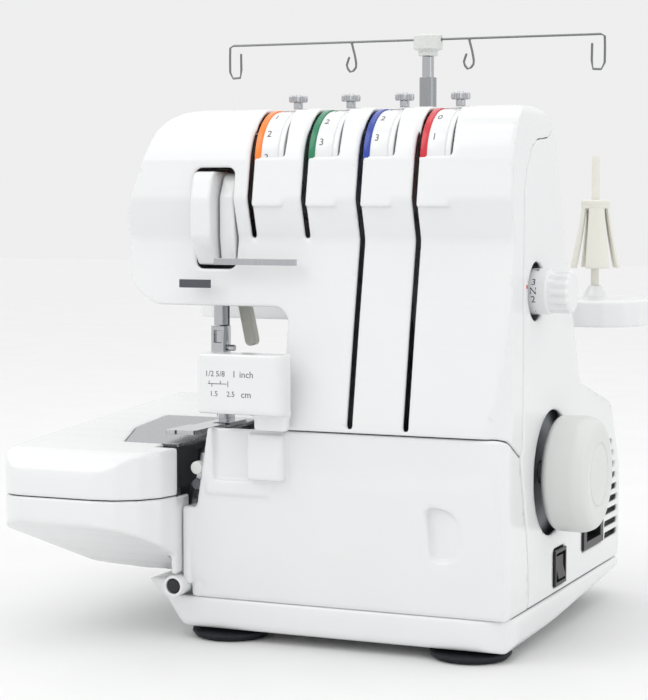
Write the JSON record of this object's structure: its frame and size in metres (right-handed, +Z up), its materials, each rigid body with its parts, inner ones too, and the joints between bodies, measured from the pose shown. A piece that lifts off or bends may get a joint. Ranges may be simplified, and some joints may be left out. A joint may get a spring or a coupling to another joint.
{
  "type": "serger overlock machine",
  "caption": "Home overlock sewing machine with colour-ringed tension dials, tilting looper cover, sliding bed extension and telescopic thread stand.",
  "frame": {"origin": "middle of the footprint of the bounding box, on the table", "axes": "+X to the operator's right, +Y to the back, +Z up"},
  "size_m": [0.3134, 0.275, 0.342],
  "materials": {
    "white_shell": "glossy",
    "offwhite_plastic": "satin",
    "cream_plastic": "satin",
    "black_plastic": "satin",
    "rubber": "matte",
    "cast_metal": "satin",
    "steel": "brushed",
    "chrome": "polished",
    "dark_steel": "satin",
    "dial_orange": "glossy",
    "dial_green": "glossy",
    "dial_blue": "glossy",
    "dial_red": "glossy"
  },
  "bodies": {
    "frame": {"base_tray": "white_shell", "foot_front_left": "rubber", "foot_front_right": "rubber", "foot_rear_left": "rubber", "foot_rear_right": "rubber", "front_cover": "white_shell", "rear_cover": "white_shell", "needle_plate": "steel", "bed_arm": "cast_metal", "machine_frame": "cast_metal", "motor_body": "dark_steel", "drive_belt": "rubber", "lower_knife": "dark_steel", "take_up_cover": "white_shell", "take_up_guide_plate": "chrome", "thread_hook_guide": "dark_steel", "pretension_guide_left_needle": "chrome", "pretension_guide_right_needle": "chrome", "pretension_guide_upper_looper": "chrome", "pretension_guide_lower_looper": "chrome", "power_inlet": "black_plastic", "switch_bezel": "black_plastic", "spool_tray": "white_shell", "spool_pin_1": "cream_plastic", "spool_pin_2": "cream_plastic", "spool_pin_3": "cream_plastic", "spool_pin_4": "cream_plastic", "mast_lower_tube": "steel"},
    "drive": {"handwheel": "offwhite_plastic", "main_shaft": "steel"},
    "motor_rotor": {"motor_pulley": "steel"},
    "needle_drive": {"needle_bar": "chrome", "needle_clamp": "chrome", "needle_left": "steel", "needle_right": "steel"},
    "presser": {"presser_bar": "steel", "presser_foot": "chrome"},
    "presser_lifter": {"presser_lever": "cream_plastic"},
    "knife_arm": {"upper_knife_arm": "steel"},
    "looper_upper": {"upper_looper": "chrome"},
    "looper_lower": {"lower_looper": "chrome"},
    "feed": {"feed_dog": "steel"},
    "dial_left_needle": {"tension_dial_left_needle": "dial_orange"},
    "dial_right_needle": {"tension_dial_right_needle": "dial_green"},
    "dial_upper_looper": {"tension_dial_upper_looper": "dial_blue"},
    "dial_lower_looper": {"tension_dial_lower_looper": "dial_red"},
    "stitch_dial": {"stitch_length_dial": "white_shell"},
    "switch_rocker": {"rocker_switch": "black_plastic"},
    "cover_slide": {"looper_cover_shaft": "black_plastic"},
    "cover_door": {"looper_cover": "white_shell", "seam_gauge": "white_shell"},
    "bed_extension": {"bed_upper": "white_shell", "bed_lower": "white_shell"},
    "mast_upper": {"mast_upper_tube": "chrome"},
    "thread_guide": {"thread_guide_head": "offwhite_plastic", "thread_guide_wire": "steel"},
    "cone_1": {"cone_holder_1": "cream_plastic"},
    "cone_2": {"cone_holder_2": "cream_plastic"},
    "cone_3": {"cone_holder_3": "cream_plastic"},
    "cone_4": {"cone_holder_4": "cream_plastic"}
  },
  "joints": [
    {"name": "handwheel_turn", "type": "hinge", "parent": "frame", "child": "drive", "pos_m": [0.1, -0.013, 0.092], "axis": [1, 0, 0], "continuous": true},
    {"name": "motor_spin", "type": "hinge", "parent": "frame", "child": "motor_rotor", "pos_m": [0.1, 0.0865, 0.072], "axis": [1, 0, 0], "continuous": true},
    {"name": "needle_bar_stroke", "type": "slide", "parent": "frame", "child": "needle_drive", "axis": [0, 0, 1], "range_m": [-0.027, 0]},
    {"name": "presser_lift", "type": "slide", "parent": "frame", "child": "presser", "axis": [0, 0, 1], "range_m": [0, 0.0055]},
    {"name": "presser_lever_turn", "type": "hinge", "parent": "frame", "child": "presser_lifter", "pos_m": [-0.06235, -0.01, 0.196], "axis": [0, 1, 0], "range_deg": [-50, 0]},
    {"name": "upper_knife_swing", "type": "hinge", "parent": "frame", "child": "knife_arm", "pos_m": [-0.05485, -0.0835, 0.071], "axis": [1, 0, 0], "range_deg": [-8, 8]},
    {"name": "upper_looper_swing", "type": "hinge", "parent": "frame", "child": "looper_upper", "pos_m": [-0.00035, -0.058, 0.05], "axis": [0, 1, 0], "range_deg": [-8, 8]},
    {"name": "lower_looper_swing", "type": "hinge", "parent": "frame", "child": "looper_lower", "pos_m": [-0.02035, -0.045, 0.05], "axis": [0, 1, 0], "range_deg": [-8, 8]},
    {"name": "feed_dog_move", "type": "slide", "parent": "frame", "child": "feed", "axis": [0, 1, 0], "range_m": [-0.002, 0.002]},
    {"name": "dial_left_needle_turn", "type": "hinge", "parent": "frame", "child": "dial_left_needle", "pos_m": [-0.00905, -0.0575, 0.262], "axis": [1, 0, 0], "range_deg": [-208, 48]},
    {"name": "dial_right_needle_turn", "type": "hinge", "parent": "frame", "child": "dial_right_needle", "pos_m": [0.02255, -0.0575, 0.262], "axis": [1, 0, 0], "range_deg": [-190, 67]},
    {"name": "dial_upper_looper_turn", "type": "hinge", "parent": "frame", "child": "dial_upper_looper", "pos_m": [0.05405, -0.0575, 0.262], "axis": [1, 0, 0], "range_deg": [-187, 70]},
    {"name": "dial_lower_looper_turn", "type": "hinge", "parent": "frame", "child": "dial_lower_looper", "pos_m": [0.08615, -0.0575, 0.262], "axis": [1, 0, 0], "range_deg": [-242, 14]},
    {"name": "stitch_length_turn", "type": "hinge", "parent": "frame", "child": "stitch_dial", "pos_m": [0.14, -0.0442, 0.1929], "axis": [1, 0, 0], "range_deg": [-53, 79]},
    {"name": "power_switch_rock", "type": "hinge", "parent": "frame", "child": "switch_rocker", "pos_m": [0.12565, 0.0005, 0.0375], "axis": [0, 1, 0], "range_deg": [0, 14]},
    {"name": "looper_cover_shift", "type": "slide", "parent": "frame", "child": "cover_slide", "axis": [1, 0, 0], "range_m": [0, 0.008], "stiffness_N_per_m": 200, "springref_m": -0.01},
    {"name": "looper_cover_tilt", "type": "hinge", "parent": "cover_slide", "child": "cover_door", "pos_m": [0, -0.1015, 0.031], "axis": [1, 0, 0], "range_deg": [0, 80]},
    {"name": "bed_extension_slide", "type": "slide", "parent": "frame", "child": "bed_extension", "axis": [-1, 0, 0], "range_m": [0, 0.07]},
    {"name": "mast_extend", "type": "slide", "parent": "frame", "child": "mast_upper", "axis": [0, 0, 1], "range_m": [0, 0.125]},
    {"name": "thread_guide_swivel", "type": "hinge", "parent": "mast_upper", "child": "thread_guide", "pos_m": [0.01635, 0.0925, 0.335], "axis": [0, 0, 1], "range_deg": [-90, 90]},
    {"name": "cone_holder_1_lift", "type": "slide", "parent": "frame", "child": "cone_1", "axis": [0, 0, 1], "range_m": [0, 0.07]},
    {"name": "cone_holder_2_lift", "type": "slide", "parent": "frame", "child": "cone_2", "axis": [0, 0, 1], "range_m": [0, 0.07]},
    {"name": "cone_holder_3_lift", "type": "slide", "parent": "frame", "child": "cone_3", "axis": [0, 0, 1], "range_m": [0, 0.07]},
    {"name": "cone_holder_4_lift", "type": "slide", "parent": "frame", "child": "cone_4", "axis": [0, 0, 1], "range_m": [0, 0.07]}
  ],
  "couplings": [
    {"joint": "motor_spin", "follows": "handwheel_turn", "ratio": 3},
    {"joint": "presser_lever_turn", "follows": "presser_lift", "rad_per_m": -158}
  ]
}
